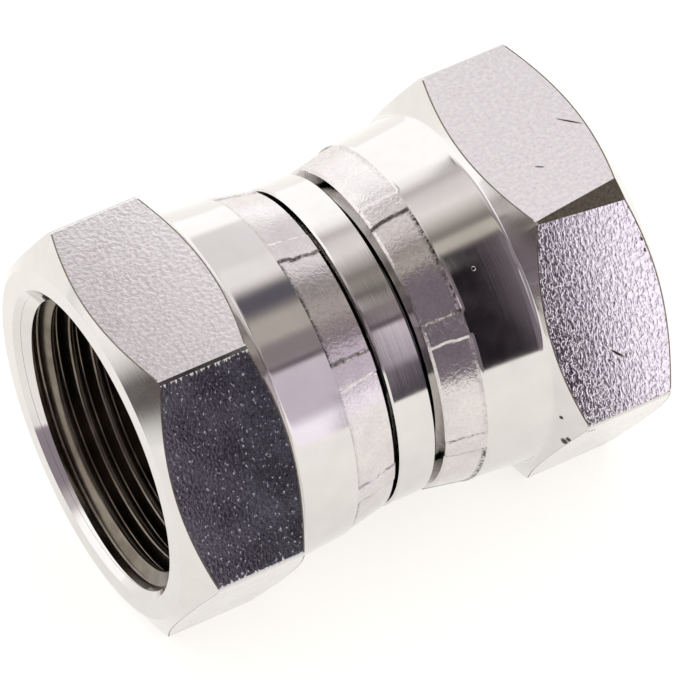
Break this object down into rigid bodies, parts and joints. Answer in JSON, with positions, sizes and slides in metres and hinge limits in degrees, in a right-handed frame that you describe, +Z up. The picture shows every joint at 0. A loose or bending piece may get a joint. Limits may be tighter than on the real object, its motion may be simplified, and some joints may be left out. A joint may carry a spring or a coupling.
{
  "type": "double swivel nut hydraulic nipple",
  "caption": "Straight hydraulic coupling nipple with a loose internally threaded hexagon nut crimped over each coned end.",
  "frame": {"origin": "on the axis, midway between the two outer faces", "axes": "+X along the axis towards the right-hand nut, +Z up from the flats it lies on"},
  "size_m": [0.0584, 0.0472, 0.041],
  "materials": {
    "turned_steel": "turned stainless steel",
    "nut_steel": "turned stainless steel with forged flats"
  },
  "bodies": {
    "nipple": {"nipple": "turned_steel"},
    "nut_left": {"swivel_nut_left": "nut_steel"},
    "nut_right": {"swivel_nut_right": "nut_steel"}
  },
  "joints": [
    {"name": "nut_left_spin", "type": "hinge", "parent": "nipple", "child": "nut_left", "pos_m": [0, 0, 0], "axis": [1, 0, 0], "continuous": true},
    {"name": "nut_right_spin", "type": "hinge", "parent": "nipple", "child": "nut_right", "pos_m": [0, 0, 0], "axis": [1, 0, 0], "continuous": true}
  ]
}
